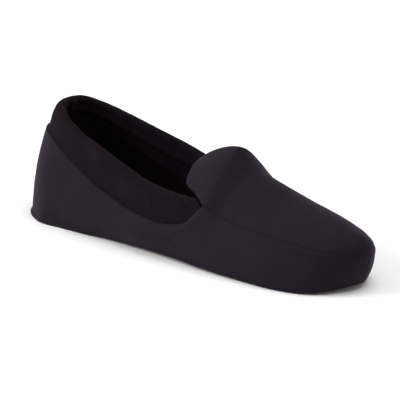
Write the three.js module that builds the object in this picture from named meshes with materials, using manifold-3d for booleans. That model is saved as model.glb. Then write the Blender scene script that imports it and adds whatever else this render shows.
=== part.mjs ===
// A moccasin slipper for a man's right foot: a hollow knit upper whose apron ends in a rounded
// tab, a rolled fleece cuff round the collar, a cushion insole and a thin soft sole.
// Millimetres, +Z up, heel towards -X, toe towards +X, the outer side of the foot towards -Y.
import * as THREE from "three";
import { mergeVertices } from "three/addons/utils/BufferGeometryUtils.js";
import Module from "manifold-3d";

// Driving sizes of the last
const length = 286; // sole, heel to toe
const ballWidth = 84; // sole, across the ball of the foot
const heelWidth = 76; // sole, across the heel
const heelHeight = 65.5; // collar seam above the floor, at the back of the heel
const sideHeight = 27; // collar seam at its lowest, under the ankle
const throatHeight = 47.5; // collar seam where it meets the corner of the apron
const toeHeight = 28.5; // apron seam at the tip of the toe
const instepRise = 33.5; // crown of the apron above its seam, at the throat
const sideBulge = 4; // how far the side wall swells between sole and seam
const archLift = 2.8; // underside above the floor, under the arch
const toeSpring = 4.8; // underside above the floor, at the tip of the toe
const archHollow = 5; // how far the inner side of the sole is cut in, at the arch
const toeLean = 4; // how far the toe turns towards the inner side

// Driving sizes of the pieces
const wall = 2.6; // knit upper with its foam and lining
const tabLength = 35; // tab, from the corner of the apron back over the throat
const tabDrop = 15; // how far the end of the tab lies below its root
const tabClimb = 1.75; // how far the tab arches up half way along
const cuffBand = 30; // width of the standing cuff beside the ankle
const cuffThickness = 7; // doubled fleece at its rolled edge
const cuffStep = 1.2; // how far the collar seam stands out beyond the cuff
const cuffFoot = 4.2; // how far inwards the lower edge of the cuff reaches
const soleThickness = 2.4;
const soleInset = 0.5; // how far the edge of the sole is set in under the upper
const soleRound = 0.8; // soft lower edge of the sole
const insoleThickness = 5;
const insoleRound = 1.6; // soft upper edge of the insole
const fit = 0.3; // gap between pieces that touch

// Places along the last, as shares of its length
const archFrom = 0.19;
const archTo = 0.775;
const springFrom = 0.85;
const leanFrom = 0.5;

// Places round the last. A station counts 0 at the middle of the heel and 1 at the tip of the
// toe, and a turn is a station with a sign: minus on the outer side, plus on the inner side.
const throat = 0.505; // corner of the apron
const archMiddle = 0.4;
const archReach = 0.13;
const apronTurn = 0.03; // over this much of a station the wall's top edge turns into the seam
const widthChange = [0.3, 0.6]; // stations where the heel's width passes over into the ball's
const tabTaper = 0.46; // how much narrower the tab gets before its end rounds off

// Exponents of the curves: a higher one keeps a curve flat for longer before it bends.
const archBend = 1.5;
const tabRounding = 12;
const tabDroop = 1.3;

// How finely the surfaces are faceted
const nearby = 0.003; // part of a station over which a line's direction is taken
const weld = 1e-3; // corners nearer than this are one
const collarSteps = 32;
const apronSteps = 20;
const wallSteps = 7;
const acrossSteps = 14;
const tabSteps = 9;
const rootSteps = 4; // steps of the apron that the cuff's room takes in

function table(names, rows) {
  return rows.map((row) => Object.fromEntries(names.map((name, index) => [name, row[index]])));
}

// Edge of the sole. Along is a share of the length, aside of half the width at that station.
const soleRows = table(["at", "along", "aside"], [
  [0.000, 0.000, 0.000],
  [0.060, 0.020, 0.545],
  [0.130, 0.086, 0.962],
  [0.220, 0.178, 1.000],
  [0.340, 0.318, 0.993],
  [0.460, 0.458, 0.980],
  [0.580, 0.598, 0.978],
  [0.700, 0.738, 1.000],
  [0.800, 0.851, 0.960],
  [0.885, 0.932, 0.755],
  [0.950, 0.980, 0.392],
  [1.000, 1.000, 0.000],
]);

// Top line of the side wall: the collar seam up to the throat, then the seam of the apron.
// Height is a share of the size named beside it, and bulge a share of the side's bulge.
const topRows = table(["at", "along", "aside", "height", "of", "bulge"], [
  [0.000, 0.029, 0.000, 1.000, heelHeight, 0.45],
  [0.060, 0.045, 0.400, 0.992, heelHeight, 0.50],
  [0.130, 0.095, 0.693, 0.940, heelHeight, 0.80],
  [0.220, 0.185, 0.865, 0.763, heelHeight, 1.00],
  [0.310, 0.308, 0.986, 0.550, heelHeight, 1.00],
  [0.380, 0.425, 1.043, 1.037, sideHeight, 1.00],
  [0.430, 0.517, 1.051, 1.000, sideHeight, 1.00],
  [0.465, 0.586, 1.016, 0.682, throatHeight, 1.00],
  [0.490, 0.616, 0.963, 0.852, throatHeight, 1.00],
  [0.505, 0.626, 0.943, 1.000, throatHeight, 1.00],
  [0.510, 0.629, 0.940, 0.996, throatHeight, 1.00],
  [0.580, 0.671, 0.894, 0.895, throatHeight, 0.98],
  [0.700, 0.769, 0.869, 0.800, throatHeight, 0.93],
  [0.800, 0.869, 0.786, 1.211, toeHeight, 0.88],
  [0.885, 0.948, 0.595, 1.095, toeHeight, 0.58],
  [0.950, 1.003, 0.305, 1.035, toeHeight, 0.33],
  [1.000, 1.020, 0.000, 1.000, toeHeight, 0.20],
]);

// Crown of the apron above its seam, as a share of the instep's rise, and how flat its top is: a
// higher bend keeps it flat for longer before it falls to the seams.
const crownRows = table(["at", "rise", "bend"], [
  [0.505, 1.000, 1.45],
  [0.525, 0.930, 1.47],
  [0.580, 0.750, 1.58],
  [0.630, 0.670, 1.68],
  [0.700, 0.545, 1.80],
  [0.800, 0.430, 1.80],
  [0.885, 0.350, 1.80],
  [0.950, 0.240, 1.80],
  [1.000, 0.000, 1.80],
]);

// Rolled edge of the cuff from the collar seam below it: forwards, inwards and up, as shares
// of the cuff's band.
const cuffRows = table(["at", "forward", "inward", "up"], [
  [0.000, 0.51, 0.00, 0.65],
  [0.060, 0.43, 0.15, 0.65],
  [0.130, 0.20, 0.26, 0.65],
  [0.220, -0.07, 0.22, 0.83],
  [0.310, -0.23, 0.18, 1.00],
  [0.380, -0.47, 0.17, 1.02],
  [0.430, -0.65, 0.17, 0.85],
  [0.465, -0.70, 0.17, 0.58],
  [0.490, -0.48, 0.18, 0.27],
  [0.505, -0.15, 0.25, 0.02],
]);

// Cross-section of the cuff, from the outer foot over the roll to the inner foot. Up is a share
// of the way to the rolled edge, out a share of the cuff's thickness.
const cuffProfile = table(["up", "out"], [
  [0.20, 0.10],
  [0.50, 0.35],
  [0.80, 0.45],
  [0.94, 0.28],
  [1.00, -0.05],
  [0.94, -0.40],
  [0.80, -0.58],
  [0.62, -0.60],
  [0.45, -0.48],
  [0.20, -0.52],
]);

// Curves through the tables

function mirrored(end, inside, parity) {
  return parity === "even" ? inside : 2 * end - inside;
}

// A smooth curve through one column. Past each end the column is mirrored: an even column
// keeps its values there, an odd one changes their sign.
function column(rows, name, at, parity) {
  const last = rows.length - 1;
  const cell = (key, index, kind) => {
    if (index < 0) return mirrored(rows[0][key], rows[-index][key], kind[0]);
    if (index > last) return mirrored(rows[last][key], rows[2 * last - index][key], kind[1]);
    return rows[index][key];
  };
  const place = (index) => cell("at", index, ["odd", "odd"]);
  const value = (index) => cell(name, index, parity);
  const slope = (index) => {
    const before = place(index) - place(index - 1);
    const after = place(index + 1) - place(index);
    const rise = (value(index) - value(index - 1)) / before;
    const next = (value(index + 1) - value(index)) / after;
    return (rise * after + next * before) / (before + after);
  };
  let index = 0;
  while (index < last - 1 && at >= place(index + 1)) index += 1;
  const span = place(index + 1) - place(index);
  const t = (at - place(index)) / span;
  const start = (2 * t - 3) * t * t + 1;
  const leave = ((t - 2) * t + 1) * t * span;
  const arrive = (t - 1) * t * t * span;
  return start * value(index) + (1 - start) * value(index + 1)
    + leave * slope(index) + arrive * slope(index + 1);
}

function smooth(from, to, x) {
  const t = Math.min(Math.max((x - from) / (to - from), 0), 1);
  return t * t * (3 - 2 * t);
}

function halfWidth(at) {
  const share = smooth(widthChange[0], widthChange[1], at);
  return (heelWidth + (ballWidth - heelWidth) * share) / 2;
}

// Height of the sole's underside above the floor: flat at the heel and at the ball.
function lift(x) {
  const share = x / length;
  const arch = Math.min(Math.max((share - archFrom) / (archTo - archFrom), 0), 1);
  const toe = Math.max((share - springFrom) / (1 - springFrom), 0);
  return archLift * Math.sin(Math.PI * arch) ** archBend + toeSpring * toe * toe;
}

function lean(x) {
  return toeLean * Math.max((x / length - leanFrom) / (1 - leanFrom), 0) ** 2;
}

// Stations run on past the toe and the heel onto the other side.
function placed(turn) {
  let wrapped = turn;
  if (wrapped > 1) wrapped -= 2;
  if (wrapped < -1) wrapped += 2;
  return { at: Math.abs(wrapped), side: wrapped < 0 ? -1 : 1 };
}

function soleLine(turn) {
  const { at, side } = placed(turn);
  const x = column(soleRows, "along", at, ["even", "even"]) * length;
  let aside = column(soleRows, "aside", at, ["odd", "odd"]) * halfWidth(at);
  if (side > 0) aside -= archHollow * Math.exp(-(((at - archMiddle) / archReach) ** 2));
  return new THREE.Vector3(x, side * aside + lean(x), lift(x));
}

const topHeights = topRows.map((row) => ({ at: row.at, height: row.height * row.of }));

function topLine(turn) {
  const { at, side } = placed(turn);
  const x = column(topRows, "along", at, ["even", "even"]) * length;
  const aside = column(topRows, "aside", at, ["odd", "odd"]) * halfWidth(at);
  const z = column(topHeights, "height", at, ["even", "even"]);
  return new THREE.Vector3(x, side * aside + lean(x), z);
}

// Direction that points straight out of the shoe, level, from a line round it.
function outward(line, turn) {
  const along = line(turn + nearby).sub(line(turn - nearby));
  return new THREE.Vector3(-along.y, along.x, 0).normalize();
}

function setIn(line, turn, inset) {
  return line(turn).addScaledVector(outward(line, turn), -inset);
}

// Surface of the upper. Inset moves the whole surface inwards, so that the same functions give
// the outer face, the inner face and the room for what lies inside.

function wallFoot(turn, inset) {
  const foot = setIn(soleLine, turn, inset);
  foot.z = lift(foot.x) + soleThickness + fit;
  return foot;
}

function seamPoint(turn, inset) {
  const seam = setIn(topLine, turn, inset);
  const underApron = smooth(throat - apronTurn, throat, placed(turn).at);
  seam.z -= inset * underApron;
  return seam;
}

function wallPoint(turn, up, inset) {
  const { at } = placed(turn);
  const swell = sideBulge * column(topRows, "bulge", at, ["even", "even"]);
  const point = wallFoot(turn, inset).lerp(seamPoint(turn, inset), up);
  return point.addScaledVector(outward(soleLine, turn), swell * Math.sin(Math.PI * up));
}

// Across runs from 1 at the inner seam to -1 at the outer seam.
function apronPoint(at, across, inset) {
  const inner = seamPoint(at, inset);
  const outer = seamPoint(-at, inset);
  const point = outer.lerp(inner, (across + 1) / 2);
  const rise = instepRise * column(crownRows, "rise", at, ["odd", "even"]);
  const bend = column(crownRows, "bend", at, ["odd", "even"]);
  point.z += rise * (1 - Math.abs(across) ** bend);
  return point;
}

// Back is 0 at the root of the tab and 1 at its rounded end.
function tabPoint(back, across, inset) {
  const narrow = (1 - tabTaper * back) * Math.sqrt(1 - back ** tabRounding);
  const point = apronPoint(throat, across * narrow, inset);
  point.x -= (tabLength - inset) * back;
  point.z += 4 * tabClimb * back * (1 - back) - tabDrop * back ** tabDroop;
  return point;
}

// Faceted bodies

function even(from, to, steps) {
  return Array.from({ length: steps + 1 }, (_, index) => from + ((to - from) * index) / steps);
}

// Every piece is faceted at the same stations, so that its neighbours' facets run beside its own.
const collarStations = even(0, throat, collarSteps);
const apronStations = even(throat, 1, apronSteps);
const stations = [...collarStations, ...apronStations.slice(1)];

// Places along the tab, from its end to its root, closer together where the end rounds off.
const tabPlaces = even(1, 0, tabSteps).slice(0, -1).map((step) => Math.sin((Math.PI / 2) * step));

class Skin {
  constructor() {
    this.corners = [];
  }

  triangle(a, b, c) {
    const closed = a.distanceTo(b) < weld || b.distanceTo(c) < weld || c.distanceTo(a) < weld;
    if (!closed) this.corners.push(a, b, c);
  }

  quad(a, b, c, d) {
    this.triangle(a, b, c);
    this.triangle(a, c, d);
  }

  // A sheet over rows of points, facing the side that the first row's turn to the second shows.
  sheet(rows) {
    for (let i = 0; i + 1 < rows.length; i += 1) {
      for (let j = 0; j + 1 < rows[i].length; j += 1) {
        this.quad(rows[i][j], rows[i][j + 1], rows[i + 1][j + 1], rows[i + 1][j]);
      }
    }
  }

  // Closes the gap between the edges of an outer and an inner sheet.
  edge(outer, inner) {
    this.sheet([[...inner], [...outer]]);
  }

  // A flat or dished cap on a closed line of points.
  cap(line) {
    const centre = line.reduce((sum, point) => sum.add(point), new THREE.Vector3());
    centre.divideScalar(line.length);
    line.forEach((point, index) => {
      this.triangle(centre, point, line[(index + 1) % line.length]);
    });
  }

  geometry() {
    const raw = new THREE.BufferGeometry().setFromPoints(this.corners);
    return mergeVertices(raw, weld);
  }
}

function backwards(line) {
  return [...line].reverse();
}

// Upper: outer and inner sheets of the side wall, the apron and the tab, closed at the foot,
// at the collar and round the tab.
function upperShape() {
  const turns = [...backwards(stations).map((at) => -at), ...stations.slice(1)];
  const ups = even(0, 1, wallSteps);
  const acrosses = even(1, -1, acrossSteps);
  const side = (inset) => turns.map((turn) => ups.map((up) => wallPoint(turn, up, inset)));
  const crown = (inset) => [
    ...tabPlaces.map((back) => acrosses.map((across) => tabPoint(back, across, inset))),
    ...apronStations.map((at) => acrosses.map((across) => apronPoint(at, across, inset))),
  ];
  const faces = [0, wall].map((inset) => ({ side: side(inset), crown: crown(inset) }));
  const skin = new Skin();
  skin.sheet(faces[0].side);
  skin.sheet(faces[0].crown);
  skin.sheet(faces[1].side.map(backwards));
  skin.sheet(faces[1].crown.map(backwards));
  const foot = faces.map((face) => face.side.map((row) => row[0]));
  skin.edge(backwards(foot[0]), backwards(foot[1]));
  const isCollar = (row, index) => Math.abs(turns[index]) <= throat;
  const collar = faces.map((face) => face.side.filter(isCollar).map((row) => row.at(-1)));
  skin.edge(collar[0], collar[1]);
  const tabRows = tabSteps + 1;
  const innerSide = faces.map((face) => face.crown.slice(0, tabRows).map((row) => row[0]));
  const outerSide = faces.map((face) => face.crown.slice(0, tabRows).map((row) => row.at(-1)));
  skin.edge(backwards(innerSide[0]), backwards(innerSide[1]));
  skin.edge(outerSide[0], outerSide[1]);
  return skin.geometry();
}

// Room that the tab and the root of the apron need, with the gap round it.
function tabRoom() {
  const acrosses = even(1, -1, acrossSteps);
  const roots = apronStations.slice(0, rootSteps);
  const rowsAt = (inset) => [
    ...tabPlaces.map((back) => acrosses.map((across) => tabPoint(back, across, inset))),
    ...roots.map((at) => acrosses.map((across) => apronPoint(at, across, inset))),
  ];
  const outer = rowsAt(-fit);
  const inner = rowsAt(wall + fit);
  const skin = new Skin();
  skin.sheet(outer);
  skin.sheet(inner.map(backwards));
  skin.edge(backwards(outer.map((row) => row[0])), backwards(inner.map((row) => row[0])));
  skin.edge(outer.map((row) => row.at(-1)), inner.map((row) => row.at(-1)));
  skin.edge(backwards(outer.at(-1)), backwards(inner.at(-1)));
  return skin.geometry();
}

function rolledEdge(turn) {
  const { at, side } = placed(turn);
  const forward = column(cuffRows, "forward", at, ["even", "odd"]);
  const inward = column(cuffRows, "inward", at, ["odd", "odd"]);
  const up = column(cuffRows, "up", at, ["even", "odd"]);
  const shift = new THREE.Vector3(forward, -side * inward, up);
  return topLine(turn).addScaledVector(shift, cuffBand);
}

function cuffSection(turn) {
  const middle = (at) => topLine(at).lerp(rolledEdge(at), 0.5);
  const along = middle(turn + nearby).sub(middle(turn - nearby));
  const seam = setIn(topLine, turn, cuffStep);
  const rise = rolledEdge(turn).sub(seam);
  const out = rise.clone().cross(along).normalize();
  const foot = [cuffStep, cuffFoot].map((inset) => setIn(topLine, turn, inset));
  foot.forEach((point) => {
    point.z += fit;
  });
  const band = cuffProfile.map((row) => (
    seam.clone().addScaledVector(rise, row.up).addScaledVector(out, row.out * cuffThickness)
  ));
  return [foot[0], ...band, foot[1]];
}

// The cuff ends one step short of the apron's corner.
function cuffShape() {
  const half = collarStations.slice(0, -1);
  const sections = [...backwards(half).map((at) => -at), ...half.slice(1)].map(cuffSection);
  const skin = new Skin();
  skin.sheet(sections.map((section) => [...section, section[0]]));
  skin.cap(backwards(sections[0]));
  skin.cap(sections.at(-1));
  return skin.geometry();
}

// A pad between two levels, from loops of points that go round it at each station.
function padShape(loopAt) {
  const loops = stations.map((at) => {
    const loop = loopAt(at);
    return [...loop, loop[0]];
  });
  const skin = new Skin();
  skin.sheet(loops);
  return skin.geometry();
}

function outsoleShape() {
  const point = (turn, inset, height) => {
    const edge = setIn(soleLine, turn, inset);
    edge.z = lift(edge.x) + height;
    return edge;
  };
  const side = (turn) => [
    point(turn, soleInset + soleRound, 0),
    point(turn, soleInset, soleRound),
    point(turn, soleInset, soleThickness),
  ];
  return padShape((at) => [...side(at), ...backwards(side(-at))]);
}

function insoleShape() {
  const room = wall + fit;
  const side = (turn) => {
    const rise = seamPoint(turn, room).z - wallFoot(turn, room).z;
    const top = insoleThickness / rise;
    return [
      wallPoint(turn, 0, room),
      wallPoint(turn, top / 2, room),
      wallPoint(turn, top, room + insoleRound),
    ];
  };
  return padShape((at) => [...side(at), ...backwards(side(-at))]);
}

// Cuts one closed body out of another.
const wasm = await Module();
wasm.setup();

function solid(geometry) {
  const vertProperties = new Float32Array(geometry.attributes.position.array);
  const triVerts = new Uint32Array(geometry.index.array);
  return new wasm.Manifold(new wasm.Mesh({ numProp: 3, vertProperties, triVerts }));
}

function cut(body, tool) {
  const mesh = solid(body).subtract(solid(tool)).getMesh();
  const geometry = new THREE.BufferGeometry();
  geometry.setAttribute("position", new THREE.BufferAttribute(mesh.vertProperties, 3));
  geometry.setIndex(new THREE.BufferAttribute(mesh.triVerts, 1));
  return geometry;
}

// Assembly
const finishes = {
  knit: new THREE.MeshStandardMaterial({ color: 0x2d282f, roughness: 0.85, metalness: 0 }),
  fleece: new THREE.MeshStandardMaterial({ color: 0x282228, roughness: 0.95, metalness: 0 }),
  suede: new THREE.MeshStandardMaterial({ color: 0x2a2320, roughness: 0.9, metalness: 0 }),
  lining: new THREE.MeshStandardMaterial({ color: 0x1b171b, roughness: 0.95, metalness: 0 }),
};

function piece(name, geometry, finish) {
  const mesh = new THREE.Mesh(geometry, finishes[finish]);
  mesh.name = name;
  return mesh;
}

const slipper = new THREE.Group();
slipper.add(piece("upper", upperShape(), "knit"));
slipper.add(piece("cuff", cut(cuffShape(), tabRoom()), "fleece"));
slipper.add(piece("outsole", outsoleShape(), "suede"));
slipper.add(piece("insole", insoleShape(), "lining"));

// The origin is on the floor, under the middle of the whole slipper.
const bounds = new THREE.Box3().setFromObject(slipper);
const middle = bounds.getCenter(new THREE.Vector3());
slipper.position.set(-middle.x, -middle.y, -bounds.min.z);

export default slipper;
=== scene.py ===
"""Looks of a moccasin slipper: stretch knit upper, rolled fleece cuff, cushion insole, suede sole.

Shapes are worked out in millimetres on the last: the heel at x = 0, the toe towards +X, the outer
side towards -Y and the floor at z = 0. They then move into the frame of the CAD part, in metres.
"""
import math
import bpy
import numpy as np
from mathutils import Matrix, Vector


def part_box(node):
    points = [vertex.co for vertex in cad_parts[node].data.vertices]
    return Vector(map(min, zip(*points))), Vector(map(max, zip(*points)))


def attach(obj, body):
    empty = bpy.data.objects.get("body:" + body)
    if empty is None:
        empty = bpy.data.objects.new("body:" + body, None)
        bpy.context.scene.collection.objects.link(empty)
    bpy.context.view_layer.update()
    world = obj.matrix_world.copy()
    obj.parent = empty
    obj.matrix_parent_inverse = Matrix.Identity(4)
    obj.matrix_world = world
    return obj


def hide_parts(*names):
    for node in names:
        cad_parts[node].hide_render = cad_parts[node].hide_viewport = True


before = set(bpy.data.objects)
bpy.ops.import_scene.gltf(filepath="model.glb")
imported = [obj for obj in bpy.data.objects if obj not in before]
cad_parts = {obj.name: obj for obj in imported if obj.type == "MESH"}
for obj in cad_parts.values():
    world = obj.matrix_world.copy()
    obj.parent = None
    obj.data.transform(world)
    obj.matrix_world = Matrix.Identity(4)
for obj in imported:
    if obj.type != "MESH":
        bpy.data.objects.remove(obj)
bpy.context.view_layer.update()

MM = 0.001

# Sizes of the last, as in the CAD part
LENGTH = 286.0
BALL_WIDTH = 84.0
HEEL_WIDTH = 76.0
HEEL_HEIGHT = 65.5
SIDE_HEIGHT = 27.0
THROAT_HEIGHT = 47.5
TOE_HEIGHT = 28.5
INSTEP_RISE = 33.5
SIDE_BULGE = 4.0
ARCH_LIFT = 2.8
TOE_SPRING = 4.8
ARCH_HOLLOW = 5.0
TOE_LEAN = 4.0

# Sizes of the pieces, as in the CAD part
WALL = 2.6
TAB_LENGTH = 35.0
TAB_DROP = 15.0
TAB_CLIMB = 1.75
CUFF_BAND = 30.0
CUFF_THICKNESS = 7.0
CUFF_STEP = 1.2
SOLE_THICKNESS = 2.4
SOLE_ROUND = 0.8
INSOLE_THICKNESS = 5.0
INSOLE_ROUND = 1.6
FIT = 0.3

# The sole's edge is further in than the CAD part's, behind the hem
SOLE_INSET = 1.3

# Places along the last, as shares of its length, and round it, where a station counts 0 at the
# middle of the heel and 1 at the tip of the toe
ARCH_FROM = 0.19
ARCH_TO = 0.775
SPRING_FROM = 0.85
LEAN_FROM = 0.5
THROAT = 0.505
ARCH_MIDDLE = 0.4
ARCH_REACH = 0.13
APRON_TURN = 0.03
TAB_TAPER = 0.46
ARCH_BEND = 1.5
TAB_ROUNDING = 12
TAB_DROOP = 1.3
WIDTH_CHANGE = (0.3, 0.6)

NEARBY = 0.003  # how far apart the points are that give a line its direction
WELD = 1e-3  # points closer than this are one point


def table(names, rows):
    return {name: np.array([row[index] for row in rows]) for index, name in enumerate(names)}


SOLE_ROWS = table(["at", "along", "aside"], [
    (0.000, 0.000, 0.000),
    (0.060, 0.020, 0.545),
    (0.130, 0.086, 0.962),
    (0.220, 0.178, 1.000),
    (0.340, 0.318, 0.993),
    (0.460, 0.458, 0.980),
    (0.580, 0.598, 0.978),
    (0.700, 0.738, 1.000),
    (0.800, 0.851, 0.960),
    (0.885, 0.932, 0.755),
    (0.950, 0.980, 0.392),
    (1.000, 1.000, 0.000),
])

# Top line of the side wall: the collar seam up to the throat, then the seam of the apron
TOP_ROWS = table(["at", "along", "aside", "height", "bulge"], [
    (0.000, 0.029, 0.000, 1.000 * HEEL_HEIGHT, 0.45),
    (0.060, 0.045, 0.400, 0.992 * HEEL_HEIGHT, 0.50),
    (0.130, 0.095, 0.693, 0.940 * HEEL_HEIGHT, 0.80),
    (0.220, 0.185, 0.865, 0.763 * HEEL_HEIGHT, 1.00),
    (0.310, 0.308, 0.986, 0.550 * HEEL_HEIGHT, 1.00),
    (0.380, 0.425, 1.043, 1.037 * SIDE_HEIGHT, 1.00),
    (0.430, 0.517, 1.051, 1.000 * SIDE_HEIGHT, 1.00),
    (0.465, 0.586, 1.016, 0.682 * THROAT_HEIGHT, 1.00),
    (0.490, 0.616, 0.963, 0.852 * THROAT_HEIGHT, 1.00),
    (0.505, 0.626, 0.943, 1.000 * THROAT_HEIGHT, 1.00),
    (0.510, 0.629, 0.940, 0.996 * THROAT_HEIGHT, 1.00),
    (0.580, 0.671, 0.894, 0.895 * THROAT_HEIGHT, 0.98),
    (0.700, 0.769, 0.869, 0.800 * THROAT_HEIGHT, 0.93),
    (0.800, 0.869, 0.786, 1.211 * TOE_HEIGHT, 0.88),
    (0.885, 0.948, 0.595, 1.095 * TOE_HEIGHT, 0.58),
    (0.950, 1.003, 0.305, 1.035 * TOE_HEIGHT, 0.33),
    (1.000, 1.020, 0.000, 1.000 * TOE_HEIGHT, 0.20),
])

# Crown of the apron above its seam, as a share of the instep's rise, and how flat its top is: a
# higher bend keeps it flat for longer before it falls to the seams
CROWN_ROWS = table(["at", "rise", "bend"], [
    (0.505, 1.000, 1.45),
    (0.525, 0.930, 1.47),
    (0.580, 0.750, 1.58),
    (0.630, 0.670, 1.68),
    (0.700, 0.545, 1.80),
    (0.800, 0.430, 1.80),
    (0.885, 0.350, 1.80),
    (0.950, 0.240, 1.80),
    (1.000, 0.000, 1.80),
])

# Rolled edge of the cuff from the collar seam below it, as shares of the cuff's band
CUFF_ROWS = table(["at", "forward", "inward", "up"], [
    (0.000, 0.51, 0.00, 0.65),
    (0.060, 0.43, 0.15, 0.65),
    (0.130, 0.20, 0.26, 0.65),
    (0.220, -0.07, 0.22, 0.83),
    (0.310, -0.23, 0.18, 1.00),
    (0.380, -0.47, 0.17, 1.02),
    (0.430, -0.65, 0.17, 0.85),
    (0.465, -0.70, 0.17, 0.58),
    (0.490, -0.48, 0.18, 0.27),
    (0.505, -0.15, 0.25, 0.02),
])

# Cross-section of the cuff, from the outer foot over the roll to the inner foot. Up is a share
# of the way to the rolled edge, out a share of the cuff's thickness.
CUFF_PROFILE = table(["step", "up", "out"], [
    (0, -0.06, 0.00),
    (1, 0.20, 0.14),
    (2, 0.50, 0.36),
    (3, 0.80, 0.45),
    (4, 0.94, 0.28),
    (5, 1.00, -0.05),
    (6, 0.95, -0.36),
    (7, 0.83, -0.46),
    (8, 0.69, -0.50),
    (9, 0.58, -0.62),
    (10, 0.49, -0.62),
    (11, 0.44, -0.42),
    (12, 0.41, -0.16),
    (13, 0.18, -0.14),
    (14, -0.04, -0.34),
])
ROLL_TOP = 5  # step of the profile at the top of the roll
INNER_BAND = 6  # step at which the inner band begins
INNER_HEM = 11  # step at which the fleece ends and the lining begins
FOOT_TURN = 1.2  # steps before the end at which the fleece begins again


def ghosts(values, parity):
    """A column with the mirrored value beyond each end: an even one keeps it, an odd one turns it."""
    first = values[1] if parity[0] == "even" else 2 * values[0] - values[1]
    last = values[-2] if parity[1] == "even" else 2 * values[-1] - values[-2]
    return np.concatenate([[first], values, [last]])


def column(rows, name, at, parity, key="at"):
    """A smooth curve through one column of a table."""
    places = rows[key]
    values = rows[name]
    spans = np.diff(ghosts(places, ("odd", "odd")))
    rises = np.diff(ghosts(values, parity)) / spans
    slopes = (rises[:-1] * spans[1:] + rises[1:] * spans[:-1]) / (spans[:-1] + spans[1:])
    index = np.clip(np.searchsorted(places, at, side="right") - 1, 0, len(places) - 2)
    span = spans[index + 1]
    t = (at - places[index]) / span
    start = (2 * t - 3) * t * t + 1
    leave = ((t - 2) * t + 1) * t * span
    arrive = (t - 1) * t * t * span
    return (start * values[index] + (1 - start) * values[index + 1]
            + leave * slopes[index] + arrive * slopes[index + 1])


def smooth(low, high, x):
    t = np.clip((x - low) / (high - low), 0, 1)
    return t * t * (3 - 2 * t)


def hump(away, reach):
    """1 in the middle of a soft hump, falling to nothing with the distance away."""
    return np.exp(-((away / reach) ** 2))


def point(x, y, z):
    return np.stack(np.broadcast_arrays(x, y, z), axis=-1).astype(float)


def unit(vectors):
    return vectors / np.maximum(np.linalg.norm(vectors, axis=-1, keepdims=True), 1e-12)


def half_width(at):
    return (HEEL_WIDTH + (BALL_WIDTH - HEEL_WIDTH) * smooth(*WIDTH_CHANGE, at)) / 2


def lift(x):
    """Height of the sole's underside above the floor."""
    share = x / LENGTH
    arch = np.clip((share - ARCH_FROM) / (ARCH_TO - ARCH_FROM), 0, 1)
    toe = np.maximum((share - SPRING_FROM) / (1 - SPRING_FROM), 0)
    return ARCH_LIFT * np.abs(np.sin(math.pi * arch)) ** ARCH_BEND + TOE_SPRING * toe * toe


def lean(x):
    return TOE_LEAN * np.maximum((x / LENGTH - LEAN_FROM) / (1 - LEAN_FROM), 0) ** 2


def placed(turn):
    """Station and side of a turn: minus is the outer side, plus the inner side."""
    wrapped = (np.asarray(turn, float) + 1) % 2 - 1
    return np.abs(wrapped), np.where(wrapped < 0, -1.0, 1.0)


def sole_line(turn):
    at, side = placed(turn)
    x = column(SOLE_ROWS, "along", at, ("even", "even")) * LENGTH
    aside = column(SOLE_ROWS, "aside", at, ("odd", "odd")) * half_width(at)
    aside = aside - (side > 0) * ARCH_HOLLOW * np.exp(-(((at - ARCH_MIDDLE) / ARCH_REACH) ** 2))
    return point(x, side * aside + lean(x), lift(x))


def top_line(turn):
    at, side = placed(turn)
    x = column(TOP_ROWS, "along", at, ("even", "even")) * LENGTH
    aside = column(TOP_ROWS, "aside", at, ("odd", "odd")) * half_width(at)
    z = column(TOP_ROWS, "height", at, ("even", "even"))
    return point(x, side * aside + lean(x), z)


def outward(line, turn):
    along = line(turn + NEARBY) - line(turn - NEARBY)
    return unit(point(-along[..., 1], along[..., 0], 0))


def set_in(line, turn, inset):
    return line(turn) - outward(line, turn) * inset


def wall_foot(turn, inset):
    foot = set_in(sole_line, turn, inset)
    foot[..., 2] = lift(foot[..., 0]) + SOLE_THICKNESS + FIT
    return foot


def seam_point(turn, inset):
    seam = set_in(top_line, turn, inset)
    seam[..., 2] -= inset * smooth(THROAT - APRON_TURN, THROAT, placed(turn)[0])
    return seam


def wall_point(turn, up, inset):
    swell = SIDE_BULGE * column(TOP_ROWS, "bulge", placed(turn)[0], ("even", "even"))
    foot = wall_foot(turn, inset)
    up = np.asarray(up, float)[..., None]
    straight = foot + (seam_point(turn, inset) - foot) * up
    return straight + outward(sole_line, turn) * swell[..., None] * np.sin(math.pi * up)


def apron_point(at, across, inset):
    """Across runs from 1 at the inner seam to -1 at the outer seam."""
    inner = seam_point(at, inset)
    outer = seam_point(-at, inset)
    across = np.asarray(across, float)
    rise = INSTEP_RISE * column(CROWN_ROWS, "rise", at, ("odd", "even"))
    found = outer + (inner - outer) * ((across + 1) / 2)[..., None]
    bend = column(CROWN_ROWS, "bend", at, ("odd", "even"))
    found[..., 2] += rise * (1 - np.abs(across) ** bend)
    return found


def tab_point(back, across, inset):
    """Back is 0 at the root of the tab and 1 at its rounded end."""
    narrow = (1 - TAB_TAPER * back) * np.sqrt(np.maximum(1 - back ** TAB_ROUNDING, 0))
    found = apron_point(np.full_like(back, THROAT), across * narrow, inset)
    found[..., 0] -= (TAB_LENGTH - inset) * back
    found[..., 2] += 4 * TAB_CLIMB * back * (1 - back) - TAB_DROP * back ** TAB_DROOP
    return found


# Meshes

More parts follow.
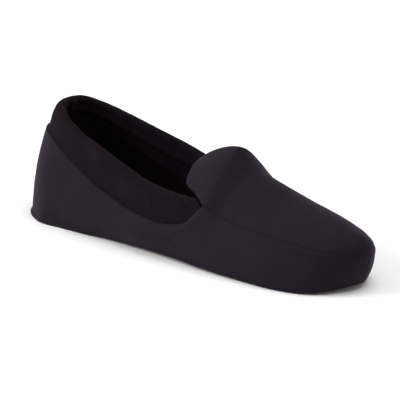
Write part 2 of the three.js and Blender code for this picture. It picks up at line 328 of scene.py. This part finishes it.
class Cloth:
    """Faces over grids of points, welded where the grids meet. Each point also has a place of its
    own in the weave or round the piece, which stays that of the first grid where grids meet."""

    def __init__(self):
        self.points = []
        self.faces = []
        self.places = []
        self.count = 0

    def grid(self, points, places=None):
        rows, columns = points.shape[:2]
        number = self.count + np.arange(rows * columns).reshape(rows, columns)
        corners = [number[:-1, :-1], number[:-1, 1:], number[1:, 1:], number[1:, :-1]]
        self.faces.append(np.stack(corners, axis=-1).reshape(-1, 4))
        self.points.append(points.reshape(-1, 3))
        self.places.append((points if places is None else places).reshape(-1, 3))
        self.count += rows * columns

    def welded(self):
        points = np.concatenate(self.points)
        whole = np.round(points / WELD).astype(np.int64)
        _, first, place = np.unique(whole, axis=0, return_index=True, return_inverse=True)
        faces = place.reshape(-1)[np.concatenate(self.faces)]
        return points[first], faces, np.concatenate(self.places)[first]


def normals_of(points, faces):
    a, b, c, d = (points[faces[:, corner]] for corner in range(4))
    across = np.cross(c - a, d - b)
    total = np.zeros_like(points)
    for corner in range(4):
        np.add.at(total, faces[:, corner], across)
    return unit(total)


def distance_to(points, line):
    """Distance of each point from a line of points."""
    found = np.full(len(points), np.inf)
    for start, end in zip(line[:-1], line[1:]):
        along = end - start
        share = np.clip(((points - start) @ along) / max(along @ along, 1e-12), 0, 1)
        gap = points - start - share[:, None] * along
        found = np.minimum(found, np.einsum("ij,ij->i", gap, gap))
    return np.sqrt(found)


def rim_of(faces):
    """Edges with one face, as pairs of points in that face's direction."""
    starts = faces.reshape(-1)
    ends = np.roll(faces, -1, axis=1).reshape(-1)
    real = starts != ends
    pairs = set(zip(starts[real].tolist(), ends[real].tolist()))
    return [pair for pair in pairs if (pair[1], pair[0]) not in pairs]


def thickened(points, faces, half, rim_steps):
    """A sheet made solid, with a half-round rim. Half is half the thickness at each point. Returns
    points, faces, which face is inside, and the sheet's point that each new point comes from."""
    normals = normals_of(points, faces)
    half = half[:, None]
    count = len(points)
    inside = faces[:, ::-1] + count
    rim = sorted(rim_of(faces))
    after = dict(rim)
    before = {end: start for start, end in rim}
    edge = np.array(sorted(after))
    along = unit(points[[after[i] for i in edge]] - points[[before[i] for i in edge]])
    away = unit(np.cross(along, normals[edge]))
    layers = [points + normals * half, points - normals * half]
    source = [np.arange(count), np.arange(count)]
    rings = [dict(zip(edge.tolist(), edge.tolist()))]
    start = 2 * count
    for step in range(1, rim_steps):
        angle = math.pi * step / rim_steps
        turned = math.cos(angle) * normals[edge] + math.sin(angle) * away
        layers.append(points[edge] + half[edge] * turned)
        rings.append(dict(zip(edge.tolist(), range(start, start + len(edge)))))
        source.append(edge)
        start += len(edge)
    rings.append(dict(zip(edge.tolist(), (edge + count).tolist())))
    bands = [
        (upper[b], upper[a], lower[a], lower[b])
        for upper, lower in zip(rings[:-1], rings[1:])
        for a, b in rim
    ]
    every = np.concatenate([faces, np.array(bands), inside])
    is_inside = np.arange(len(every)) >= len(faces) + len(bands)
    return np.concatenate(layers), every, is_inside, np.concatenate(source)


# From the last's frame to the part's
def shift_of(points, node):
    """How far the last's frame is from the part's: the boxes of one piece in both, compared."""
    low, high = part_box(node)
    middle = (Vector(low) + Vector(high)) / 2
    own = (points.min(axis=0) + points.max(axis=0)) / 2
    return np.array([middle.x / MM - own[0], middle.y / MM - own[1], 0.0])


def build(name, points, faces, materials, inside=None, fields=()):
    """An object from points in millimetres and faces of three or four corners."""
    corners = []
    for face in faces.tolist():
        kept = [corner for index, corner in enumerate(face) if corner != face[index - 1]]
        corners.append(kept)
    whole = [index for index, face in enumerate(corners) if len(set(face)) > 2]
    mesh = bpy.data.meshes.new(name)
    mesh.from_pydata(((points + SHIFT) * MM).tolist(), [], [corners[index] for index in whole])
    for material in materials:
        mesh.materials.append(material)
    if inside is not None:
        mesh.polygons.foreach_set("material_index", inside[whole].astype(np.int32))
    for label, values in fields:
        kind = "FLOAT_VECTOR" if values.ndim == 2 else "FLOAT"
        made = mesh.attributes.new(label, kind, "POINT")
        made.data.foreach_set("vector" if values.ndim == 2 else "value", values.reshape(-1))
    mesh.shade_smooth()
    mesh.update()
    piece = bpy.data.objects.new(name, mesh)
    bpy.context.scene.collection.objects.link(piece)
    return piece


def even(start, end, steps):
    return np.linspace(start, end, steps + 1)


# Soft noise over points, the same in each run
NOISE_SEED = 7


def waves(points, size, count, seed):
    """Smooth unevenness from -1 to 1 or so, with hollows and rises about size apart."""
    made = np.random.default_rng(NOISE_SEED + seed)
    directions = unit(made.normal(size=(count, 3)))
    pitches = size * made.uniform(0.7, 1.6, count)
    phases = made.uniform(0, 2 * math.pi, count)
    total = np.zeros(len(points))
    for direction, pitch, phase in zip(directions, pitches, phases):
        total += np.sin(points @ direction * (2 * math.pi / pitch) + phase)
    return total / math.sqrt(count)


def unevenness(points, parts):
    """Waves added up, from a height, a size, a number of waves and a seed for each part."""
    return sum(height * waves(points, size, count, seed) for height, size, count, seed in parts)


UPPER_WAVES = [(0.25, 38.0, 14, 1), (0.06, 9.0, 18, 2)]
CUFF_WAVES = [(0.30, 34.0, 14, 3), (0.06, 9.0, 18, 4)]
SOLE_WAVES = [(0.05, 24.0, 12, 6)]
INSOLE_WAVES = [(0.30, 24.0, 12, 6)]


# Materials

def material(name, colour, roughness, sheen=0.0, sheen_tint=(1, 1, 1), sheen_roughness=0.5,
             gloss=0.15):
    made = bpy.data.materials.new(name)
    made.use_nodes = True
    shader = made.node_tree.nodes["Principled BSDF"]
    shader.inputs["Base Color"].default_value = (*colour, 1)
    shader.inputs["Roughness"].default_value = roughness
    shader.inputs["Specular IOR Level"].default_value = gloss
    shader.inputs["Sheen Weight"].default_value = sheen
    shader.inputs["Sheen Roughness"].default_value = sheen_roughness
    shader.inputs["Sheen Tint"].default_value = (*sheen_tint, 1)
    return made, made.node_tree, shader


def node(tree, kind, **values):
    made = tree.nodes.new(kind)
    for name, value in values.items():
        if name in made.inputs:
            made.inputs[name].default_value = value
        else:
            setattr(made, name, value)
    return made


def linear(red, green, blue):
    """A screen colour from 0 to 255 as the renderer counts it, by the standard curve of screens."""
    shares = (red / 255, green / 255, blue / 255)
    return tuple(((c + 0.055) / 1.055) ** 2.4 if c > 0.04045 else c / 12.92 for c in shares)


GRAIN_SHARE = 0.45  # part of the fine grain in the mottling
TONES_FROM = 0.3  # noise at and below which the darker tone is pure
TONES_TO = 0.7  # noise at and above which the lighter tone is pure


def mottled(tree, dark, light, sizes):
    """A colour that drifts between two tones, in soft patches and in fine grain of the two sizes."""
    place = node(tree, "ShaderNodeTexCoord")
    source = place.outputs["Object"]
    patches = node(tree, "ShaderNodeTexNoise", Scale=1 / (sizes[0] * MM), Detail=3.0)
    grain = node(tree, "ShaderNodeTexNoise", Scale=1 / (sizes[1] * MM), Detail=2.0)
    tree.links.new(source, patches.inputs["Vector"])
    tree.links.new(source, grain.inputs["Vector"])
    both = node(tree, "ShaderNodeMix", data_type="FLOAT")
    both.inputs[0].default_value = GRAIN_SHARE
    tree.links.new(patches.outputs["Fac"], both.inputs[2])
    tree.links.new(grain.outputs["Fac"], both.inputs[3])
    ramp = node(tree, "ShaderNodeValToRGB")
    ramp.color_ramp.elements[0].position = TONES_FROM
    ramp.color_ramp.elements[1].position = TONES_TO
    ramp.color_ramp.elements[0].color = (*dark, 1)
    ramp.color_ramp.elements[1].color = (*light, 1)
    tree.links.new(both.outputs[0], ramp.inputs["Fac"])
    return source, ramp


def painted_seam_shade(tree, colour, attribute, width, darkest):
    """Painted shade: darkens the colour beside a seam, where its groove falls into shade, by the
    distance that the mesh stores.
    """
    gap = node(tree, "ShaderNodeAttribute", attribute_name=attribute)
    fade = node(tree, "ShaderNodeMapRange", interpolation_type="SMOOTHSTEP")
    fade.inputs["From Min"].default_value = 0
    fade.inputs["From Max"].default_value = width
    fade.inputs["To Min"].default_value = darkest
    fade.inputs["To Max"].default_value = 1
    tree.links.new(gap.outputs["Fac"], fade.inputs["Value"])
    scaled = node(tree, "ShaderNodeVectorMath", operation="SCALE")
    tree.links.new(colour, scaled.inputs[0])
    tree.links.new(fade.outputs["Result"], scaled.inputs["Scale"])
    return scaled.outputs["Vector"]


def bump(tree, shader, height, distance, strength, normal=None):
    made = node(tree, "ShaderNodeBump", Distance=distance * MM, Strength=strength)
    tree.links.new(height, made.inputs["Height"])
    if normal is not None:
        tree.links.new(normal, made.inputs["Normal"])
    tree.links.new(made.outputs["Normal"], shader.inputs["Normal"])
    return made.outputs["Normal"]


KNIT_PITCH = 0.8  # millimetres from wale to wale
COURSES_PER_WALE = 1.4
WAVE_TURN = 20  # the wave texture turns its place by this many radians for each unit of scale
# Painted shade in the grooves of the apron's and toe's seams: its width in millimetres and the darkest
# share of the colour
SEAM_SHADE_WIDTH = 1.3
SEAM_SHADE_DARKEST = 0.45


def knit_material():
    made, tree, shader = material("knit", (0, 0, 0), 0.72, sheen=0.07, sheen_tint=linear(200, 170, 215),
                                  sheen_roughness=0.45, gloss=0.07)
    _, ramp = mottled(tree, linear(23, 18, 24), linear(29, 22, 31), (26.0, 1.2))
    # painted shade along the seams' grooves
    colour = painted_seam_shade(tree, ramp.outputs["Color"], "seam", SEAM_SHADE_WIDTH, SEAM_SHADE_DARKEST)
    tree.links.new(colour, shader.inputs["Base Color"])
    weave = node(tree, "ShaderNodeAttribute", attribute_name="weave")
    wales = node(tree, "ShaderNodeTexWave", bands_direction="X", wave_profile="SIN")
    courses = node(tree, "ShaderNodeTexWave", bands_direction="Y", wave_profile="SIN")
    scale = 2 * math.pi / WAVE_TURN / KNIT_PITCH
    wales.inputs["Scale"].default_value = scale
    courses.inputs["Scale"].default_value = scale * COURSES_PER_WALE
    for wave in (wales, courses):
        tree.links.new(weave.outputs["Vector"], wave.inputs["Vector"])
    loops = node(tree, "ShaderNodeMath", operation="MULTIPLY")
    tree.links.new(wales.outputs["Fac"], loops.inputs[0])
    tree.links.new(courses.outputs["Fac"], loops.inputs[1])
    place = node(tree, "ShaderNodeTexCoord")
    fuzz = node(tree, "ShaderNodeTexNoise", Scale=1 / (0.9 * MM), Detail=3.0)
    tree.links.new(place.outputs["Object"], fuzz.inputs["Vector"])
    first = bump(tree, shader, fuzz.outputs["Fac"], 0.12, 0.35)
    bump(tree, shader, loops.outputs["Value"], 0.12, 0.35, first)
    return made


def fleece_material(name, dark, light, sheen):
    made, tree, shader = material(name, (0, 0, 0), 0.95, sheen=sheen, sheen_tint=linear(200, 170, 195),
                                  sheen_roughness=0.6, gloss=0.04)
    source, ramp = mottled(tree, dark, light, (14.0, 1.0))
    tree.links.new(ramp.outputs["Color"], shader.inputs["Base Color"])
    tufts = node(tree, "ShaderNodeTexNoise", Scale=1 / (2.2 * MM), Detail=4.0, Roughness=0.65)
    tree.links.new(source, tufts.inputs["Vector"])
    bump(tree, shader, tufts.outputs["Fac"], 0.5, 0.3)
    return made


def suede_material():
    made, tree, shader = material("suede", (0, 0, 0), 0.9, sheen=0.15, sheen_tint=linear(200, 180, 160),
                                  sheen_roughness=0.5)
    source, ramp = mottled(tree, linear(34, 28, 26), linear(56, 46, 41), (9.0, 0.8))
    tree.links.new(ramp.outputs["Color"], shader.inputs["Base Color"])
    nap = node(tree, "ShaderNodeTexNoise", Scale=1 / (0.7 * MM), Detail=5.0, Roughness=0.7)
    tree.links.new(source, nap.inputs["Vector"])
    bump(tree, shader, nap.outputs["Fac"], 0.4, 0.5)
    return made


KNIT = knit_material()
FLEECE = fleece_material("fleece", linear(13, 9, 12), linear(24, 18, 23), 0.03)
LINING = fleece_material("lining", linear(20, 12, 17), linear(30, 20, 27), 0.03)
SUEDE = suede_material()

# Upper: the sheet half way through the wall, with its seams and creases, made solid

HALF = WALL / 2
HEM_HALF = 0.5  # half the thickness of the turned-in lower edge
HEM_LEVEL = 0.7  # lower edge above the sole's underside
HEM_SHOWS = 1.3  # how much higher it is beside the ball, where the sole shows
HEM_SHOWS_AT = 0.72  # the station where it is highest
HEM_SHOWS_REACH = 0.07
HEM_HEIGHT = 5.0
HEEL_LIP = 1.3  # how far the hem flares out round the heel
HEEL_LIP_HEIGHT = 3.5
HEEL_LIP_FADES = (0.10, 0.32)  # shares of the length between which the flare ends
SEAM_GROOVE = 0.55  # depth of the groove along the apron's seam
SEAM_REACH = 0.9
SEAM_RIDGE = 0.35  # height of the soft ridges beside the groove
RIDGE_PLACE = 3.0
RIDGE_REACH = 2.0
TOE_GROOVE = 0.5
TOE_REACH = 0.8
TOE_SEAM_FROM = 0.02  # share of the wall's height at which the toe's seam begins
TOE_SEAM_POINTS = 20
COLLAR_STEPS = 170
APRON_STEPS = 130
UP_STEPS = 34
ACROSS_STEPS = 64
TAB_STEPS = 34
CLOSER = 1.5  # how strongly the rows crowd towards a seam
RIM_STEPS = 6


def crowded(steps):
    """Shares from 0 to 1, closer together towards 1."""
    return 1 - (1 - even(0, 1, steps)) ** CLOSER


def both_ends(steps):
    """Shares from 0 to 1, closer together towards both ends."""
    return (1 - np.cos(math.pi * even(0, 1, steps))) / 2


collar_stations = even(0, THROAT, COLLAR_STEPS)
apron_stations = THROAT + (1 - THROAT) * crowded(APRON_STEPS)
stations = np.concatenate([collar_stations, apron_stations[1:]])
turns = np.concatenate([-stations[::-1], stations[1:]])
half_across = crowded(ACROSS_STEPS // 2)
acrosses = np.concatenate([half_across[::-1], -half_across[1:]])
tab_places = np.sin(math.pi / 2 * even(1, 0, TAB_STEPS))


def side_sheet(inset):
    """The wall from its hem to its top line, less the room of its round rims."""
    at, side = placed(turns)
    rise = seam_point(turns, inset)[:, 2] - wall_foot(turns, inset)[:, 2]
    shows = HEM_SHOWS * (side < 0) * hump(at - HEM_SHOWS_AT, HEM_SHOWS_REACH)
    low = (HEM_LEVEL + shows - SOLE_THICKNESS - FIT) / rise
    high = 1 - inset / rise * (1 - smooth(THROAT - APRON_TURN, THROAT, at))
    ups = low[:, None] + (high - low)[:, None] * both_ends(UP_STEPS)[None, :]
    wide = np.broadcast_to(turns[:, None], ups.shape)
    return wall_point(wide, ups, inset)


def crown_sheet(inset):
    at, across = np.meshgrid(apron_stations, acrosses, indexing="ij")
    back, aside = np.meshgrid(tab_places, acrosses, indexing="ij")
    return tab_point(back, aside, inset), apron_point(at, across, inset)


def lengths(points, axis):
    """Running length along one axis of a grid of points."""
    steps = np.linalg.norm(np.diff(points, axis=axis), axis=-1)
    zero = np.zeros_like(np.take(steps, [0], axis=axis))
    return np.cumsum(np.concatenate([zero, steps], axis=axis), axis=axis)


upper_cloth = Cloth()
side = side_sheet(HALF)
upper_cloth.grid(side, point(lengths(side, 0)[:, :1], lengths(side, 1), 0))
for crown in crown_sheet(HALF):
    upper_cloth.grid(crown, point(crown[..., 1], crown[..., 0], 0))
points, faces, weave = upper_cloth.welded()
normals = normals_of(points, faces)

apron_seam = np.concatenate([seam_point(-apron_stations, HALF), seam_point(apron_stations[::-1], HALF)])
toe_ups = np.linspace(TOE_SEAM_FROM, 1, TOE_SEAM_POINTS)
toe_seam = wall_point(np.ones(TOE_SEAM_POINTS), toe_ups, HALF)

SHIFT = shift_of(points + normals * HALF, "upper")

apron_gap = distance_to(points, apron_seam)
toe_gap = distance_to(points, toe_seam)
seam_gap = np.minimum(apron_gap, toe_gap)

depth = -SEAM_GROOVE * hump(apron_gap, SEAM_REACH) - TOE_GROOVE * hump(toe_gap, TOE_REACH)
depth += SEAM_RIDGE * hump(apron_gap - RIDGE_PLACE, RIDGE_REACH)
depth += unevenness(points, UPPER_WAVES)
foot_height = points[:, 2] - lift(points[:, 0])
hem = 1 - smooth(HEM_LEVEL, HEM_LEVEL + HEM_HEIGHT, foot_height)
half = HALF + (HEM_HALF - HALF) * hem
heel = 1 - smooth(*HEEL_LIP_FADES, points[:, 0] / LENGTH)
lip = HEEL_LIP * heel * (1 - smooth(HEM_LEVEL, HEM_LEVEL + HEEL_LIP_HEIGHT, foot_height)) ** 2
points = points + normals * (depth + HALF - half + lip)[:, None]

solid, solid_faces, is_inside, source = thickened(points, faces, half, RIM_STEPS)
upper = build("upper_knit", solid, solid_faces, [KNIT, LINING], is_inside,
              [("weave", weave[source]), ("seam", seam_gap[source])])
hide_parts("upper")
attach(upper, "root")

# Cuff: a doubled band of fleece, rolled over inwards

CUFF_STEPS = 210
PROFILE_STEPS = 66
CUFF_END = 0.497
GATHERS_FADE = (0.445, 0.492)  # stations between which the gathers grow towards a front end
GATHER_DEPTH = 0.55
GATHERS = 3.5  # number of gathers over their span
GATHERS_SPAN = 0.06  # part of a turn
GATHER_PITCH = GATHERS_SPAN / GATHERS
GATHER_LEAN = 0.5  # how much a gather turns from step to step of the profile
HEEL_FOLDS_FADE = (0.05, 0.17)  # stations between which the folds inside the heel end
HEEL_FOLD_DEPTH = 0.7
HEEL_FOLD_PITCH = 0.052  # part of a turn from fold to fold

# Dents pressed into the outer band: turn and step of the middle, reach and depth in millimetres
DENTS = table(["turn", "step", "reach", "drop"], [
    (-0.247, 3.2, 9.0, 1.3),
    (-0.270, 2.0, 7.0, 0.9),
    (-0.180, 3.6, 8.0, 0.5),
])


def rolled_edge(turn):
    at, side = placed(turn)
    forward = column(CUFF_ROWS, "forward", at, ("even", "odd"))
    inward = column(CUFF_ROWS, "inward", at, ("odd", "odd"))
    up = column(CUFF_ROWS, "up", at, ("even", "odd"))
    return top_line(turn) + CUFF_BAND * point(forward, -side * inward, up)


def cuff_sheet():
    half = even(0, CUFF_END, CUFF_STEPS)
    turn = np.concatenate([-half[::-1], half[1:]])
    steps = even(0, len(CUFF_PROFILE["up"]) - 1, PROFILE_STEPS)
    up = column(CUFF_PROFILE, "up", steps, ("odd", "odd"), "step")
    out = column(CUFF_PROFILE, "out", steps, ("odd", "odd"), "step")

    def middle(at):
        return (top_line(at) + rolled_edge(at)) / 2

    along = middle(turn + NEARBY) - middle(turn - NEARBY)
    seam = set_in(top_line, turn, CUFF_STEP)
    rise = rolled_edge(turn) - seam
    away = unit(np.cross(rise, along))
    grid = (seam[:, None, :] + rise[:, None, :] * up[None, :, None]
            + away[:, None, :] * out[None, :, None] * CUFF_THICKNESS)
    return turn, steps, grid


cuff_turns, cuff_steps, cuff_grid = cuff_sheet()
cuff_cloth = Cloth()
closed = np.concatenate([cuff_grid, cuff_grid[:, :1]], axis=1)
around = np.append(cuff_steps, cuff_steps[0])
cuff_cloth.grid(closed, point(cuff_turns[:, None], around[None, :], 0))
for end, order in ((0, 1), (-1, -1)):
    ring = cuff_grid[end][::order]
    count = len(ring)
    half_count = count // 2
    cap = np.stack([ring[:half_count], ring[::-1][:half_count]])
    cuff_cloth.grid(cap[::-1])
points, faces, where = cuff_cloth.welded()
normals = normals_of(points, faces)
at, side = placed(where[:, 0])
step = where[:, 1]
outer = step < ROLL_TOP
inner = (step > INNER_BAND) & (step < INNER_HEM)
gather = np.sin((at - THROAT) / GATHER_PITCH * 2 * math.pi + step * GATHER_LEAN)
heel_fold = (1 - smooth(*HEEL_FOLDS_FADE, at)) * np.sin(at * side * 2 * math.pi / HEEL_FOLD_PITCH)
depth = unevenness(points, CUFF_WAVES)
depth += np.where(outer, GATHER_DEPTH * smooth(*GATHERS_FADE, at) * gather, 0)
depth += np.where(inner, HEEL_FOLD_DEPTH * heel_fold, 0)
for turn, place, reach, drop in zip(*DENTS.values()):
    middle = cuff_grid[np.abs(cuff_turns - turn).argmin(), round(place / cuff_steps[1])]
    depth -= drop * hump(np.linalg.norm(points - middle, axis=1), reach)
points = points + normals * depth[:, None]
face_steps = step[faces].mean(axis=1)
is_lining = (face_steps > INNER_HEM) & (face_steps < len(CUFF_PROFILE["up"]) - FOOT_TURN)
cuff = build("cuff_fleece", points, faces, [FLEECE, LINING], is_lining)
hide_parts("cuff")
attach(cuff, "root")


# Sole and insole: loops of points that go round the pad at each station

PAD_STEPS = 220
FACE_STEPS = 12  # rings from the middle of a pad's face to its edge
SOLE_EDGE_STEPS = 8
INSOLE_EDGE_STEPS = 10


def pad(name, node_name, sides, finish, parts):
    """A pad from a function that gives the points up one side, from the lower face to the upper."""
    at = crowded(PAD_STEPS)
    at = np.concatenate([0.5 * (1 - at[::-1]), 0.5 + 0.5 * at[1:]])
    inner = sides(at)
    outer = sides(-at)
    cloth = Cloth()
    loops = np.concatenate([inner, outer[:, ::-1], inner[:, :1]], axis=1)
    cloth.grid(loops)
    points, faces, _ = cloth.welded()
    normals = normals_of(points, faces)
    points = points + normals * unevenness(points, parts)[:, None]
    piece = build(name, points, faces, [finish])
    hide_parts(node_name)
    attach(piece, "root")
    return piece


def sole_side(turn):
    """The sole from the middle of its underside to the middle of its top."""
    def edge(inset, height):
        found = set_in(sole_line, turn, inset)
        found[:, 2] = lift(found[:, 0]) + height
        return found
    rounded = [edge(SOLE_INSET + SOLE_ROUND * (1 - math.sin(a)), SOLE_THICKNESS / 2 * (1 - math.cos(a)))
               for a in even(0, math.pi, SOLE_EDGE_STEPS)]
    spine = point(rounded[0][:, 0], lean(rounded[0][:, 0]), lift(rounded[0][:, 0]))
    under = [spine + (rounded[0] - spine) * share for share in even(0, 1, FACE_STEPS)[:-1]]
    above = [face + np.array([0, 0, SOLE_THICKNESS]) for face in under[::-1]]
    return np.stack(under + rounded + above, axis=1)


sole = pad("outsole_suede", "outsole", sole_side, SUEDE, SOLE_WAVES)


def insole_side(turn):
    room = WALL + FIT
    rise = seam_point(turn, room)[:, 2] - wall_foot(turn, room)[:, 2]
    top = INSOLE_THICKNESS / rise
    rounded = [wall_point(turn, top * (1 - math.cos(a)) / 2, room + INSOLE_ROUND * (1 - math.sin(a)))
               for a in even(0, math.pi, INSOLE_EDGE_STEPS)]
    low = wall_point(turn, top * 0, room + INSOLE_ROUND)
    spine = point(low[:, 0], lean(low[:, 0]), low[:, 2])
    under = [spine + (rounded[0] - spine) * share for share in even(0, 1, FACE_STEPS)[:-1]]
    high = rounded[-1]
    crest = point(high[:, 0], lean(high[:, 0]), high[:, 2])
    above = [crest + (high - crest) * share for share in even(1, 0, FACE_STEPS)[1:]]
    return np.stack(under + rounded + above, axis=1)


insole = pad("insole_sock", "insole", insole_side, LINING, INSOLE_WAVES)

# Floor and lights, in metres in the part's frame

FLOOR_SIZE = 6.0
floor_mesh = bpy.data.meshes.new("floor")
reach = FLOOR_SIZE / 2
floor_mesh.from_pydata([(-reach, -reach, 0), (reach, -reach, 0), (reach, reach, 0), (-reach, reach, 0)],
                       [], [(0, 1, 2, 3)])
floor = bpy.data.objects.new("floor", floor_mesh)
bpy.context.scene.collection.objects.link(floor)
floor_paint, _, _ = material("floor_paint", (0.93, 0.93, 0.93), 0.9)
floor_mesh.materials.append(floor_paint)


def lamp(name, place, size, power):
    light = bpy.data.lights.new(name, "AREA")
    light.shape = "DISK"
    light.size = size
    light.energy = power
    made = bpy.data.objects.new(name, light)
    made.location = place
    made.rotation_mode = "QUATERNION"
    made.rotation_quaternion = (-Vector(place)).to_track_quat("-Z", "Y")
    bpy.context.scene.collection.objects.link(made)


lamp("key", place=(-2.0, -1.9, 1.3), size=1.8, power=70)
lamp("top", place=(0.5, 0.2, 2.6), size=2.2, power=36)

WORLD_LIGHT = 0.6

world = bpy.data.worlds.new("studio")
bpy.context.scene.world = world
world.use_nodes = True
world.node_tree.nodes["Background"].inputs["Color"].default_value = (1, 1, 1, 1)
world.node_tree.nodes["Background"].inputs["Strength"].default_value = WORLD_LIGHT
bpy.context.scene.view_settings.view_transform = "Standard"

# Camera, in millimetres in the last's frame; its clip distances are in metres
AZIMUTH = math.radians(38.5)
ELEVATION = math.radians(18.5)
ROLL = math.radians(1.4)
DISTANCE = 2430.0
PIXELS_PER_MM = 1.41
AIM = np.array([143.0, 0.0, 40.0])
AIM_RIGHT = 1.35
AIM_DOWN = 5.9
IMAGE_SIDE = 400
SENSOR = 36.0
NEAR_CLIP = 0.1
FAR_CLIP = 50.0

right = np.array([math.cos(AZIMUTH), math.sin(AZIMUTH), 0])
up = np.array([-math.sin(AZIMUTH) * math.sin(ELEVATION), math.cos(AZIMUTH) * math.sin(ELEVATION),
               math.cos(ELEVATION)])
back = np.array([math.sin(AZIMUTH) * math.cos(ELEVATION), -math.cos(AZIMUTH) * math.cos(ELEVATION),
                 math.sin(ELEVATION)])
rolled_right = right * math.cos(ROLL) + up * math.sin(ROLL)
rolled_up = up * math.cos(ROLL) - right * math.sin(ROLL)
eye = AIM + rolled_right * AIM_RIGHT - rolled_up * AIM_DOWN + back * DISTANCE
axes = np.stack([rolled_right, rolled_up, back], axis=1)
camera_data = bpy.data.cameras.new("camera")
camera_data.sensor_width = SENSOR
camera_data.lens = SENSOR * DISTANCE * PIXELS_PER_MM / IMAGE_SIDE
camera_data.clip_start = NEAR_CLIP
camera_data.clip_end = FAR_CLIP
camera = bpy.data.objects.new("camera", camera_data)
turned = Matrix(axes.tolist()).to_quaternion()
camera.matrix_world = Matrix.LocRotScale(Vector((eye + SHIFT) * MM), turned, None)
bpy.context.scene.collection.objects.link(camera)
bpy.context.scene.camera = camera
